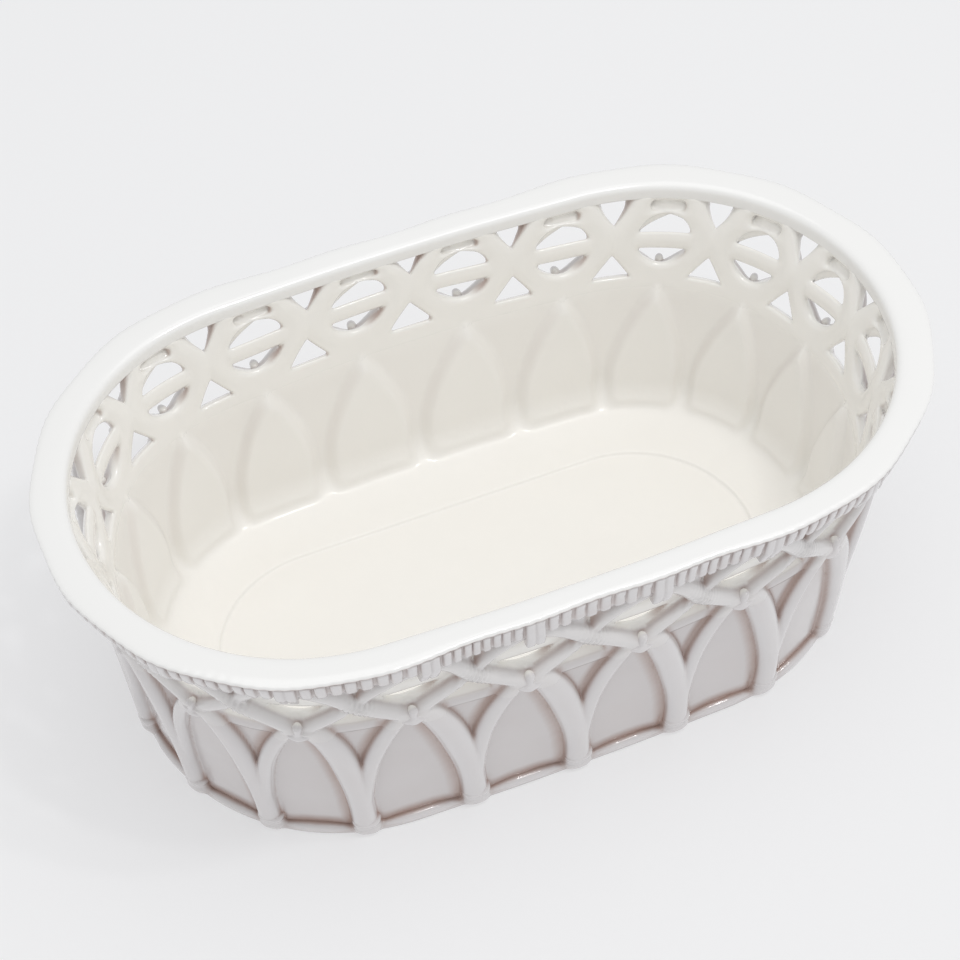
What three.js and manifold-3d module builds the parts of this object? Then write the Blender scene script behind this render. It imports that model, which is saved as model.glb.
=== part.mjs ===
// A glazed ceramic cachepot: an oval planter made like a basket, with a pierced cane gallery
// under a broad smooth rim, an arcade of pointed cane arches round the wall and a bound foot.
// Millimetres, +Z up, long axis along X. The origin is on the table, under the middle of the pot.

import * as THREE from 'three';
import { mergeVertices } from 'three/addons/utils/BufferGeometryUtils.js';
import Module from 'manifold-3d';

const wasm = await Module();
wasm.setup();

// Overall size and plan. The plan is two half circles joined by straight sides.
const totalHeight = 125;
const rimHalfStraight = 75;
const wallTopRadius = 92;
const wallBottomRadius = 81;
const wallBottomHalfStraight = 64.7;

// Clay thicknesses and the gap left between neighbouring clay parts.
const wallThickness = 4.4;
const sillLipWidth = 1;
const joint = 0.3;

// The arcade repeats this many times round the pot, a little wider on the long sides.
const archCount = 20;
const sideStretch = 0.08;
const columnsPerArch = 3;

// Levels of the gallery, measured down from the top and up from its own foot.
const rimDepth = 6.5;
const galleryHeight = 39;
const ovalDepth = 19;
const knotLift = 2.5;

// Floor and cove. The flat floor inside the fine stepped line has its own plan.
const floorHalfStraight = 64.7;
const floorEndRadius = 49;
const floorThickness = 4.9;
const floorStepHeight = 0.9;
const floorStepWidth = 1.2;
const coveHeight = 8.9;
const undersideRecess = 2.3;
const wallFootRounding = 2;

// Foot ring under the pot.
const footRingInset = 6;
const footRingWidth = 7;

// Roll and collars round the foot of the wall.
const rollLift = 0.6;
const rollHeight = 6;
const rollProud = 3.4;
const collarHeight = 10.6;
const collarWidth = 12.4;
const collarProud = 6.4;
const collarBevel = 0.5;

// Arch canes.
const archCaneWidth = 9.4;
const archCaneProud = 4.9;
const archLegLean = 1.6;
const archSpring = 18;
const archSharpness = 2.4;
const archCaneSteps = 5;

// Gallery canes and the openings between them. A spacing is the clay left between neighbouring
// openings of one kind. The openings widen outwards, which leaves the canes half round outside.
const galleryCaneProud = 4.6;
const openingFlare = 1.7;
const cutMargin = 5;
const ovalSpacing = 21.5;
const ovalHalfHeight = 12;
const barHeight = 5.8;
const slotSpacing = 30.7;
const slotHeight = 3.6;
const slotFromOval = 1.9;
const upperGapSpacing = 31.1;
const upperGapHeight = 9.8;
const upperGapMargin = 1.2;
const lowerGapSpacing = 25.5;
const lowerGapHeight = 11.5;
const lowerGapSillHeight = 2.6;

// Knots at the arch tips.
const nubWidth = 3.7;
const nubHeight = 12.6;
const nubProud = 2.9;
const nubDrop = 3.2;
const tieWidth = 9.4;
const tieHeight = 4.4;
const tieProud = 2.3;
const tieLap = 0.8;

// Rim and its reeded binding.
const rimCrown = 1.7;
const rimEdgeThickness = 1.5;
const rimLipRounding = 1.4;
const rimLipSetBack = 0.3;
const bindingThickness = 3.4;
const reedsPerArch = 8;
const longReeds = 2;
const reedDepth = 1;
const bindingHeight = 7.4;
const longReedDrop = 6.8;
const longReedPull = 1.6;

const pitch = (4 * rimHalfStraight + 2 * Math.PI * wallTopRadius) / archCount;
const galleryTop = totalHeight - rimDepth;
const galleryFoot = galleryTop - galleryHeight;
const ovalLevel = galleryTop - ovalDepth;
const knotLevel = galleryFoot + knotLift;
const floorTop = undersideRecess + floorThickness;
const coveTop = floorTop + floorStepHeight + coveHeight;
const rimOverhang = galleryCaneProud + bindingThickness;
const ovalHalfWidth = (pitch - ovalSpacing) / 2;
const slotHalfWidth = (pitch - slotSpacing) / 2;
const upperGapHalfWidth = (pitch - upperGapSpacing) / 2;
const lowerGapHalfWidth = (pitch - lowerGapSpacing) / 2;
const bindingTop = totalHeight - rimCrown - rimEdgeThickness - joint;
const bindingFoot = bindingTop - bindingHeight;

// Half straight and end radius of the bare outer wall at a height.
function wallPlan(z) {
  const t = z / totalHeight;
  const half = THREE.MathUtils.lerp(wallBottomHalfStraight, rimHalfStraight, t);
  const radius = THREE.MathUtils.lerp(wallBottomRadius, wallTopRadius, t);
  return { half, radius };
}

// A point on the wall: u counts arches from the middle of the front, w stands off the wall.
// The arches are spaced by length at the level of the knots, and keep their place in the plan
// from the foot to the rim, so each facet of the wall is flat.
function place(u, z, w) {
  const spacing = wallPlan(knotLevel);
  const turn = u / archCount;
  const spaced = turn + sideStretch * Math.sin(4 * Math.PI * turn) / (4 * Math.PI);
  const length = 4 * spacing.half + 2 * Math.PI * spacing.radius;
  const s = THREE.MathUtils.euclideanModulo(spaced, 1) * length;
  const quarter = length / 4;
  const side = Math.floor(s / quarter);
  const along = side % 2 === 0 ? s - side * quarter : (side + 1) * quarter - s;
  const share = Math.min(along / spacing.half, 1);
  const bend = Math.max(along - spacing.half, 0) / spacing.radius;
  const { half, radius } = wallPlan(z);
  const x = half * share + (radius + w) * Math.sin(bend);
  const y = -(radius + w) * Math.cos(bend);
  const flipX = side === 2 || side === 3 ? -1 : 1;
  const flipY = side === 1 || side === 2 ? -1 : 1;
  return new THREE.Vector3(x * flipX, y * flipY, z);
}

// Flat wall drawings have x along the wall, y up and z outwards. This lays one on the wall.
function bend(geometry, u0 = 0) {
  const position = geometry.getAttribute('position');
  for (let i = 0; i < position.count; i += 1) {
    const u = u0 + position.getX(i) / pitch;
    const point = place(u, position.getY(i), position.getZ(i));
    position.setXYZ(i, point.x, point.y, point.z);
  }
  return geometry;
}

// Stands a flat wall drawing up against the wall at one place without bending it.
function stand(geometry, u0) {
  const origin = place(u0, ovalLevel, 0);
  const along = place(u0 + 0.1, ovalLevel, 0).sub(place(u0 - 0.1, ovalLevel, 0));
  const x = along.clone().normalize();
  const up = new THREE.Vector3(0, 0, 1);
  const frame = new THREE.Matrix4().makeBasis(x, up, x.clone().cross(up));
  const local = new THREE.Matrix4().makeScale(along.length() / (0.2 * pitch), 1, 1);
  geometry.applyMatrix4(local).applyMatrix4(frame);
  return geometry.translate(origin.x, origin.y, 0);
}

function fromTriangles(vertices, triangles) {
  const geometry = new THREE.BufferGeometry();
  const flat = vertices.flatMap((v) => [v.x, v.y, v.z]);
  geometry.setAttribute('position', new THREE.Float32BufferAttribute(flat, 3));
  geometry.setIndex(triangles);
  return geometry;
}

function toSolid(geometry) {
  const bare = geometry.clone();
  bare.deleteAttribute('normal');
  bare.deleteAttribute('uv');
  const merged = mergeVertices(bare, 1e-4);
  const vertProperties = new Float32Array(merged.getAttribute('position').array);
  const triVerts = new Uint32Array(merged.getIndex().array);
  return new wasm.Manifold(new wasm.Mesh({ numProp: 3, vertProperties, triVerts }));
}

function toGeometry(solid) {
  const mesh = solid.getMesh();
  const geometry = new THREE.BufferGeometry();
  geometry.setAttribute('position', new THREE.BufferAttribute(new Float32Array(mesh.vertProperties), 3));
  geometry.setIndex(Array.from(mesh.triVerts));
  geometry.computeVertexNormals();
  return geometry;
}

function fuse(solids) {
  return solids.reduce((sum, solid) => sum.add(solid));
}

// Joins rows of points into a skin. Each row is a closed loop round the pot, listed from the
// underside outwards, up, over and back in. A ring closes its last row onto its first, and a
// bowl is capped on its first and last rows.
function loft(rows, closed) {
  const count = rows[0].length;
  const vertices = rows.flat();
  const triangles = [];
  const spans = closed ? rows.length : rows.length - 1;
  for (let j = 0; j < spans; j += 1) {
    const next = (j + 1) % rows.length;
    for (let i = 0; i < count; i += 1) {
      const right = (i + 1) % count;
      const a = j * count + i;
      const b = j * count + right;
      const c = next * count + right;
      const d = next * count + i;
      triangles.push(a, b, c, a, c, d);
    }
  }
  if (!closed) {
    const last = (rows.length - 1) * count;
    for (let i = 0, mirror = count - 1; i + 1 < mirror; i += 1, mirror -= 1) {
      triangles.push(i, mirror, i + 1, last + i, last + i + 1, last + mirror);
      if (i + 2 < mirror) {
        triangles.push(i + 1, mirror, mirror - 1, last + i + 1, last + mirror - 1, last + mirror);
      }
    }
  }
  return fromTriangles(vertices, triangles);
}

// A row round the pot at one height and one stand-off from the wall.
function ringRow(w, z, columns = archCount * columnsPerArch) {
  const row = [];
  for (let i = 0; i < columns; i += 1) {
    row.push(place(archCount * i / columns, z, w));
  }
  return row;
}

// A row round the pot given by its own half straight and end radius.
function planRow(half, radius, z) {
  const wall = wallPlan(z);
  return ringRow(radius - wall.radius, z).map((point) => {
    const beyond = Math.max(Math.abs(point.x) - wall.half, 0);
    const x = Math.min(Math.abs(point.x), wall.half) * half / wall.half + beyond;
    return new THREE.Vector3(Math.sign(point.x) * x, point.y, z);
  });
}

// A half round cane laid on the wall, through points of the flat wall drawing.
function cane(points, width, seat, proud) {
  const curve = new THREE.CatmullRomCurve3(points.map(([x, y]) => new THREE.Vector3(x, y, 0)));
  const steps = archCaneSteps;
  const section = [[-1, 0], [-0.5, 0.95], [0.5, 0.95], [1, 0]];
  const vertices = [];
  const triangles = [];
  for (let k = 0; k <= steps; k += 1) {
    const centre = curve.getPoint(k / steps);
    const tangent = curve.getTangent(k / steps);
    const side = new THREE.Vector3(tangent.y, -tangent.x, 0);
    for (const [across, out] of section) {
      const point = centre.clone().addScaledVector(side, across * width / 2);
      point.z = seat + out * (proud - seat);
      vertices.push(point);
    }
  }
  const n = section.length;
  for (let k = 0; k < steps; k += 1) {
    for (let i = 0; i < n; i += 1) {
      const right = (i + 1) % n;
      const a = k * n + i;
      const b = k * n + right;
      const c = (k + 1) * n + right;
      const d = (k + 1) * n + i;
      triangles.push(a, b, c, a, c, d);
    }
  }
  const last = steps * n;
  for (let i = 1; i < n - 1; i += 1) {
    triangles.push(0, i + 1, i);
    triangles.push(last, last + i, last + i + 1);
  }
  return fromTriangles(vertices, triangles);
}

// Distance of an arch leg from the arch's middle, at a height.
function archHalfWidth(z) {
  const spread = pitch / 2 - archCaneWidth / 2 + archLegLean;
  const rise = Math.max(z - archSpring, 0) / (knotLevel - archSpring);
  return spread * (1 - rise ** archSharpness);
}

function plate(shape, low, high) {
  const geometry = new THREE.ExtrudeGeometry(shape, { depth: high - low, bevelEnabled: false });
  return geometry.translate(0, 0, low);
}

const inside = -wallThickness;

// How far the cove stands in from the wall's inner face where the wall is set on it.
function coveShelf() {
  const reach = wallPlan(coveTop).radius - wallThickness - floorEndRadius;
  return { reach, top: inside - reach * 0.08, middle: inside - reach * 0.35 };
}

// Floor: the flat plate inside the stepped line.
function makeFloor() {
  const edge = floorEndRadius - joint;
  return loft([
    planRow(floorHalfStraight, edge, undersideRecess),
    planRow(floorHalfStraight, edge, floorTop),
  ], false);
}

// Cove: the ring that sweeps up from the stepped line to the wall.
function makeCove() {
  const brow = floorTop + floorStepHeight;
  const shelf = coveShelf();
  return loft([
    planRow(floorHalfStraight, floorEndRadius, undersideRecess),
    ringRow(-wallFootRounding, undersideRecess),
    ringRow(0, undersideRecess + wallFootRounding),
    ringRow(0, coveTop),
    ringRow(shelf.top, coveTop),
    ringRow(shelf.middle, brow + coveHeight * 0.42),
    planRow(floorHalfStraight, floorEndRadius + floorStepWidth, brow),
    planRow(floorHalfStraight, floorEndRadius, floorTop),
  ], true);
}

// Wall: the plain wall from the cove up to the gallery.
function makeWall() {
  return loft([
    ringRow(coveShelf().top, coveTop + joint),
    ringRow(0, coveTop + joint),
    ringRow(0, galleryFoot - joint),
    ringRow(inside, galleryFoot - joint),
    ringRow(inside, coveTop + coveHeight * 0.7),
  ], true);
}

// Foot ring: the turned ring that the pot stands on.
function makeFootRing() {
  const outer = -footRingInset;
  const inner = outer - footRingWidth;
  const top = undersideRecess - joint;
  return loft([ringRow(outer, 0), ringRow(outer, top), ringRow(inner, top), ringRow(inner, 0)], true);
}

// Outlines of the openings of one arch of the gallery, in the flat wall drawing, each listed
// counterclockwise.
function galleryOpenings() {
  const half = Math.asin(barHeight / 2 / ovalHalfHeight);
  const lobe = (from, to) => {
    const arc = new THREE.EllipseCurve(0, ovalLevel, ovalHalfWidth, ovalHalfHeight, from, to);
    return arc.getPoints(5);
  };
  const slotFoot = ovalLevel + ovalHalfHeight + slotFromOval;
  const slot = [[-1, 0], [1, 0], [0.72, 0.8], [0, 1], [-0.72, 0.8]]
    .map(([x, y]) => new THREE.Vector2(x * slotHalfWidth, slotFoot + y * slotHeight));
  const upperTop = galleryTop - upperGapMargin;
  const upper = [[0, -upperGapHeight], [upperGapHalfWidth, 0], [-upperGapHalfWidth, 0]]
    .map(([x, y]) => new THREE.Vector2(x, upperTop + y));
  const sill = galleryFoot + lowerGapSillHeight;
  const lower = [[-lowerGapHalfWidth, 0], [lowerGapHalfWidth, 0], [0, lowerGapHeight]]
    .map(([x, y]) => new THREE.Vector2(x, sill + y));
  return [
    { at: 0, outline: lobe(half, Math.PI - half) },
    { at: 0, outline: lobe(Math.PI + half, 2 * Math.PI - half) },
    { at: 0, outline: slot, levelTop: true },
    { at: 0.5, outline: upper, levelTop: true },
    { at: 0.5, outline: lower, slopingSill: true },
  ];
}

// The clay taken out of one opening, flared outwards between the canes. A level top leaves the
// strip under the rim whole, and a sloping sill runs down from the inside face to the gallery's
// foot. The tool passes both faces of the wall, which leans outwards while the tool is upright.
function openingTool({ outline, levelTop, slopingSill }) {
  const box = new THREE.Box2().setFromPoints(outline);
  const centre = box.getCenter(new THREE.Vector2());
  const size = box.getSize(new THREE.Vector2());
  const flare = openingFlare / (galleryCaneProud - inside);
  const fall = lowerGapSillHeight / (sillLipWidth - inside);
  const rows = [inside - cutMargin, galleryCaneProud + cutMargin].map((w) => outline.map((point) => {
    const grow = 2 * flare * (w - inside);
    const x = centre.x + (point.x - centre.x) * (1 + grow / size.x);
    const above = point.y > centre.y;
    let y = centre.y + (point.y - centre.y) * (1 + grow / size.y);
    if (levelTop && above) y = point.y;
    if (slopingSill && !above) y = point.y - fall * (w - inside);
    return new THREE.Vector3(x, y, w);
  }));
  return loft(rows, false);
}

function makeGallery() {
  const ring = loft([
    ringRow(galleryCaneProud, galleryFoot),
    ringRow(galleryCaneProud, galleryTop),
    ringRow(inside, galleryTop),
    ringRow(inside, galleryFoot),
  ], true);
  const tools = [];
  for (let k = 0; k < archCount; k += 1) {
    for (const opening of galleryOpenings()) {
      tools.push(toSolid(stand(openingTool(opening), k + 0.5 + opening.at)));
    }
  }
  return toGeometry(toSolid(ring).subtract(fuse(tools)));
}

// An arch: two canes that rise from neighbouring collars and close in a point.
function makeArch(k) {
  const foot = collarHeight + rollLift + joint;
  const tip = galleryFoot - joint;
  const legs = [-1, 1].map((sideways) => {
    const points = [];
    for (let i = 0; i <= 8; i += 1) {
      const z = THREE.MathUtils.lerp(foot, tip, i / 8);
      points.push([sideways * archHalfWidth(z), z]);
    }
    return toSolid(cane(points, archCaneWidth, joint, archCaneProud));
  });
  const wide = pitch / 2 - joint / 2;
  const bay = new THREE.Shape();
  bay.moveTo(-wide, foot);
  bay.lineTo(wide, foot);
  bay.lineTo(wide, tip);
  bay.lineTo(-wide, tip);
  const trimmed = fuse(legs).intersect(toSolid(plate(bay, 0, archCaneProud * 2)));
  return bend(toGeometry(trimmed), k + 0.5);
}

// A knot: an upright loop of cane over the crossing, tied below by a short band.
function makeKnot(k) {
  const seat = archCaneProud + joint;
  const nubFoot = knotLevel - nubDrop;
  const r = nubWidth / 2;
  const nub = new THREE.Shape();
  nub.moveTo(r, nubFoot + nubHeight - r);
  nub.lineTo(r * 0.5, nubFoot + nubHeight);
  nub.lineTo(-r * 0.5, nubFoot + nubHeight);
  nub.lineTo(-r, nubFoot + nubHeight - r);
  nub.lineTo(-r, nubFoot);
  nub.lineTo(r, nubFoot);
  const tie = new THREE.Shape();
  const half = tieWidth / 2;
  const low = nubFoot - tieHeight + tieLap;
  tie.moveTo(-half, low + tieHeight * 0.55);
  tie.lineTo(-half * 0.6, low);
  tie.lineTo(half * 0.6, low);
  tie.lineTo(half, low + tieHeight * 0.55);
  tie.lineTo(half * 0.7, low + tieHeight);
  tie.lineTo(-half * 0.7, low + tieHeight);
  const both = fuse([
    toSolid(plate(nub, seat, seat + nubProud)),
    toSolid(plate(tie, seat, seat + tieProud)),
  ]);
  return bend(toGeometry(both), k + 0.5);
}

// Base binding: the roll round the foot of the wall, thickened to a collar under each pair of legs.
function makeBaseBinding() {
  const collar = collarWidth / pitch / 2;
  const edge = collarBevel / pitch;
  const stops = [-collar - edge, -collar, 0, collar, collar + edge, 0.5];
  const columns = [];
  for (let k = 0; k < archCount; k += 1) {
    stops.forEach((stop) => columns.push([k + stop, Math.abs(stop) <= collar + 1e-9]));
  }
  const row = (roll, band) => columns.map(([u, wrapped]) => {
    const [w, z] = wrapped ? band : roll;
    return place(u, z, w);
  });
  const rollTop = rollLift + rollHeight;
  const bandTop = rollLift + collarHeight;
  const back = joint;
  return loft([
    row([back + rollProud * 0.6, rollLift], [back + collarProud * 0.8, rollLift]),
    row([back + rollProud, rollLift + rollHeight * 0.4], [back + collarProud, rollLift + collarHeight * 0.2]),
    row([back + rollProud * 0.75, rollLift + rollHeight * 0.85], [back + collarProud, bandTop - collarHeight * 0.11]),
    row([back, rollTop], [back, bandTop]),
    row([back, rollLift], [back, rollLift]),
  ], true);
}

// Rim: the broad smooth band on top, with its inner lip.
function makeRim() {
  const foot = galleryTop + joint;
  const edge = totalHeight - rimCrown;
  const lip = inside + rimLipSetBack;
  return loft([
    ringRow(lip, foot),
    ringRow(galleryCaneProud, foot),
    ringRow(galleryCaneProud, edge - rimEdgeThickness),
    ringRow(rimOverhang * 0.94, edge - rimEdgeThickness),
    ringRow(rimOverhang, edge - rimEdgeThickness * 0.2),
    ringRow(rimOverhang * 0.8, totalHeight - rimCrown * 0.45),
    ringRow(rimOverhang * 0.4, totalHeight),
    ringRow(lip + rimLipRounding, totalHeight - rimLipRounding * 0.15),
    ringRow(lip, totalHeight - rimLipRounding),
  ], true);
}

// Rim binding: the reeded wrapping under the rim's edge, with two long reeds over each arch.
function makeRimBinding() {
  const back = galleryCaneProud + joint;
  const columns = [];
  for (let k = 0; k < archCount; k += 1) {
    for (let i = 0; i < reedsPerArch; i += 1) {
      const long = i >= reedsPerArch - longReeds;
      const shift = longReeds / 2 / reedsPerArch;
      const u = k + 0.5 + shift + (i - reedsPerArch) / reedsPerArch;
      columns.push([u, 0, long && i > reedsPerArch - longReeds]);
      columns.push([u + 0.5 / reedsPerArch, 1, long]);
    }
  }
  const row = (w, z, drop, pull) => columns.map(([u, crest, long]) => {
    const out = w - (w > back ? (1 - crest) * reedDepth : 0);
    return place(u, long ? z - drop : z, long ? out - pull : out);
  });
  const reach = rimOverhang + reedDepth * 0.2;
  return loft([
    row(reach, bindingFoot, longReedDrop, longReedPull),
    row(reach, bindingTop, 0, 0),
    row(back, bindingTop, 0, 0),
    row(back, bindingFoot, longReedDrop, 0),
  ], true);
}

const glaze = { roughness: 0.22, metalness: 0 };
const white = new THREE.MeshStandardMaterial({ color: 0xf3f2ee, ...glaze });
const ivory = new THREE.MeshStandardMaterial({ color: 0xeeebe2, ...glaze });
const shaded = new THREE.MeshStandardMaterial({ color: 0xe4dedb, ...glaze });
const bisque = new THREE.MeshStandardMaterial({ color: 0xe6ded0, roughness: 0.85, metalness: 0 });

const cachepot = new THREE.Group();
cachepot.name = 'cachepot';

function addPart(name, geometry, material) {
  const mesh = new THREE.Mesh(geometry, material);
  mesh.name = name;
  cachepot.add(mesh);
}

addPart('foot_ring', makeFootRing(), bisque);
addPart('floor', makeFloor(), ivory);
addPart('cove', makeCove(), ivory);
addPart('wall', makeWall(), ivory);
addPart('gallery', makeGallery(), ivory);
addPart('rim', makeRim(), white);
addPart('rim_binding', makeRimBinding(), white);
addPart('base_binding', makeBaseBinding(), shaded);
for (let k = 0; k < archCount; k += 1) {
  const number = String(k + 1).padStart(2, '0');
  addPart(`arch_${number}`, makeArch(k), shaded);
  addPart(`knot_${number}`, makeKnot(k), white);
}

export default cachepot;
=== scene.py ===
# An oval glazed ceramic cachepot made like a cane basket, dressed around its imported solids.
# Lengths in the building code are millimetres on the pot and become metres in the meshes.

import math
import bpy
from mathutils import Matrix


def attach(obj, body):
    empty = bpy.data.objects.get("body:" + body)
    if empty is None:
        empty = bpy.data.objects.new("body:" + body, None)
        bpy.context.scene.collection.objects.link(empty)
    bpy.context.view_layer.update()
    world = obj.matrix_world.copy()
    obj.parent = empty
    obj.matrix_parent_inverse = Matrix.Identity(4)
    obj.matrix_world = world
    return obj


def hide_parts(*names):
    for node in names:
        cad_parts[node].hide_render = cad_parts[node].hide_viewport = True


bl_info = {
    "name": "Cane Basket Cachepot",
    "version": (1, 0, 0),
    "blender": (4, 5, 0),
    "location": "View3D > Sidebar > Cachepot",
    "description": "Builds an oval glazed cachepot with arches, a pierced gallery and a reeded rim",
    "category": "Object",
}

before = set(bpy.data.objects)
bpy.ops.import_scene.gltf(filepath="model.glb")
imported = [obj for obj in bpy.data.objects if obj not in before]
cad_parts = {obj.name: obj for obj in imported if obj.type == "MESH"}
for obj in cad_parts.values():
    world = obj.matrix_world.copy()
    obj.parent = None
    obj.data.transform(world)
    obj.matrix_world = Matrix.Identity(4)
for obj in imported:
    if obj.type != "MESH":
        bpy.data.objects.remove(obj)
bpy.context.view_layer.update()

import bpy
import numpy as np
from bpy.props import FloatProperty, FloatVectorProperty, IntProperty, PointerProperty
from bpy.types import Operator, Panel, PropertyGroup
from mathutils import Matrix, Vector

MM = 0.001

# Plan and levels of the pot.
HEIGHT = 125.0
WALL_FOOT = (64.7, 81.0)     # half straight and end radius at the table
WALL_TOP = (75.0, 92.0)      # the same at the top
KNOT_LEVEL = 82.0
GALLERY_FOOT = 74.4
GALLERY_TOP = 118.5
OVAL_LEVEL = 97.8
SIDE_STRETCH = 0.08          # how much wider the arches stand on the long sides
WALL = 4.4
FLOOR_TOP = 7.2
FLOOR_PLAN = (64.7, 49.0)    # half straight and end radius of the sunk floor
FLOOR_STEP = 1.15            # how far the floor is sunk below the shelf round it
SHELF_EDGE = 1.4             # how far outside the floor's plan its rounded step begins
COVE_TOP = 27.0
UNDERSIDE = 2.3

# How far the long sides belly out and the ends draw in, by level, and how far the very ends
# draw in besides.
BOW_LEVELS = (0.0, 10.0, 40.0, 77.0, 100.0, 121.0)
SIDE_BOW = (1.4, 1.8, 3.2, 4.5, 3.6, 2.3)
END_DRAW = (0.0, 0.2, 1.3, 2.4, 1.4, 0.0)
END_WAIST = (0.8, 1.1, 2.3, 3.0, 2.2, 0.0)

# How far the rim's edge swells out at each arch from the front round, in hundredths of a
# millimetre.
RIM_SWELL = (0, 0, 0, 40, 150, 180, 50, 0, 0, 0, 0, 0, 0, 0, 30, 80, 110, 110, 50, 0)

# The camera that fits the photograph's frame, in degrees and millimetres.
CAMERA_AZIMUTH = -21.861
CAMERA_ELEVATION = 50.189
CAMERA_ROLL = -1.377
CAMERA_LENS = 106.156
CAMERA_DISTANCE = 1156.877
CAMERA_OFFSET = (-4.937, 51.674)

# How far each foot, knot and pair of long reeds was set off its mark by hand, in hundredths
# of an arch, counted from the front round to the right.
FOOT_SET = (1, 4, 3, 1, -2, 0, 3, 2, -1, -3, 0, 2, 3, 0, -2, 1, 2, -6, -12, -3)
KNOT_SET = (-3, -7, -8, -2, 1, 3, 0, -2, -1, -6, -5, -9, -13, -12, -8, -3, 1, 0, -3, -3)
EDGE_SET = (7, 2, -3, 2, 5, 1, -4, -3, 1, -4, -13, -15, -15, -20, -14, -6, 1, 3, 14, 0)

# How far each gap of the gallery was cut above its mark, in hundredths of a millimetre.
CUT_SET = (50, -60, 40, 80, -100, 60, -120, -150, -150, 0, 200, 80, -80, 50, -100, 120, -50, 80,
           -80, 60)


def mix(a, b, t):
    return a + (b - a) * t


def step(low, high, value):
    t = np.clip((value - low) / (high - low), 0.0, 1.0)
    return t * t * (3.0 - 2.0 * t)


def soft_min(a, b, k):
    h = np.clip(0.5 + 0.5 * (b - a) / k, 0.0, 1.0)
    return b + (a - b) * h - k * h * (1.0 - h)


def soft_max(a, b, k):
    return -soft_min(-a, -b, k)


def wall_plan(z):
    t = z / HEIGHT
    return mix(WALL_FOOT[0], WALL_TOP[0], t), mix(WALL_FOOT[1], WALL_TOP[1], t)


def arch_count():
    return bpy.context.scene.cachepot.arches


def pitch():
    return (4 * WALL_TOP[0] + 2 * math.pi * WALL_TOP[1]) / arch_count()


def stations(u):
    """Share of the half straight and turn of the bend, for places counted in arches from the
    front round to the right."""
    half, radius = wall_plan(KNOT_LEVEL)
    turn = u / arch_count()
    spaced = turn + SIDE_STRETCH * np.sin(4 * np.pi * turn) / (4 * np.pi)
    length = 4 * half + 2 * np.pi * radius
    s = np.mod(spaced, 1.0) * length
    quarter = length / 4
    side = np.minimum(np.floor(s / quarter), 3)
    along = np.where(side % 2 == 0, s - side * quarter, (side + 1) * quarter - s)
    share = np.minimum(along / half, 1.0)
    bend = np.maximum(along - half, 0.0) / radius
    flip_x = np.where(side >= 2, -1.0, 1.0)
    flip_y = np.where((side == 1) | (side == 2), -1.0, 1.0)
    return share, bend, flip_x, flip_y


def bow(u, z, w):
    """The long sides belly out below the rim and the ends draw in a little, as the soft clay
    settled. The edge of the rim has its own small swells instead."""
    side = arch_count() / 2
    off_middle = np.abs(u - side * np.round(u / side)) * 20 / arch_count()
    belly = np.interp(z, BOW_LEVELS, SIDE_BOW) * step(2.1, 0.3, off_middle)
    drawn = np.interp(z, BOW_LEVELS, END_DRAW)
    drawn = drawn + np.interp(z, BOW_LEVELS, END_WAIST) * step(2.9, 4.3, off_middle)
    edge = step(108, 119, z) * step(1.5, 7.0, w)
    return mix(belly - drawn, set_off(u, RIM_SWELL, 0.0), edge)


def place(u, z, w):
    """Points on the pot from arches round it, height and stand-off from the wall."""
    u, z, w = np.broadcast_arrays(np.asarray(u, float), z, w)
    share, bend, flip_x, flip_y = stations(u)
    half, radius = wall_plan(z)
    w = w + bow(u, z, w)
    x = (half * share + (radius + w) * np.sin(bend)) * flip_x
    y = -(radius + w) * np.cos(bend) * flip_y
    return np.stack([x, y, z], -1) * MM


# Meshes.

def new_piece(name, vertices, faces, material, replaced, marks=None):
    """Makes a mesh piece that rides on the pot, stands for solids and carries painted marks."""
    mesh = bpy.data.meshes.new(name)
    faces = np.asarray(faces, np.int32)
    mesh.vertices.add(len(vertices))
    mesh.vertices.foreach_set("co", np.asarray(vertices, np.float32).ravel())
    corners = faces.shape[1]
    mesh.loops.add(faces.size)
    mesh.loops.foreach_set("vertex_index", faces.ravel())
    mesh.polygons.add(len(faces))
    mesh.polygons.foreach_set("loop_start", np.arange(len(faces), dtype=np.int32) * corners)
    mesh.update(calc_edges=True)
    mesh.validate()
    mesh.polygons.foreach_set("use_smooth", np.ones(len(mesh.polygons), bool))
    for key, values in (marks or {}).items():
        layer = mesh.attributes.new(key, "FLOAT", "POINT")
        layer.data.foreach_set("value", np.asarray(values, np.float32).ravel())
    mesh.materials.append(material)
    piece = bpy.data.objects.new(name, mesh)
    bpy.context.scene.collection.objects.link(piece)
    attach(piece, "root")
    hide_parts(*replaced)


def loop_faces(rows, columns, ring):
    """Quads of a skin of rows that each close round the pot. A ring closes on its first row."""
    j = np.arange(rows if ring else rows - 1)[:, None]
    i = np.arange(columns)[None, :]
    below, above = j * columns, (j + 1) % rows * columns
    right = (i + 1) % columns
    return np.stack([below + i, below + right, above + right, above + i], -1).reshape(-1, 4)


def cap_faces(start, columns, up):
    """Quads across a flat row, between its near and far sides, from the right end to the left."""
    i = np.arange(columns // 2 - 1)
    far = columns // 4 + i
    near = columns // 4 - 1 - i
    quads = start + np.stack([near, far, far + 1, near - 1], -1) % columns
    return quads if up else quads[:, ::-1]


def columns_round(per_arch):
    count = arch_count() * per_arch
    return np.arange(count) * arch_count() / count


def colour(name, description, default):
    return FloatVectorProperty(name=name, description=description, default=default, size=3,
                               min=0.0, max=1.0, subtype="COLOR")


def measure(name, description, default):
    return FloatProperty(name=name, description=description, default=default, unit="LENGTH")


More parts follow.
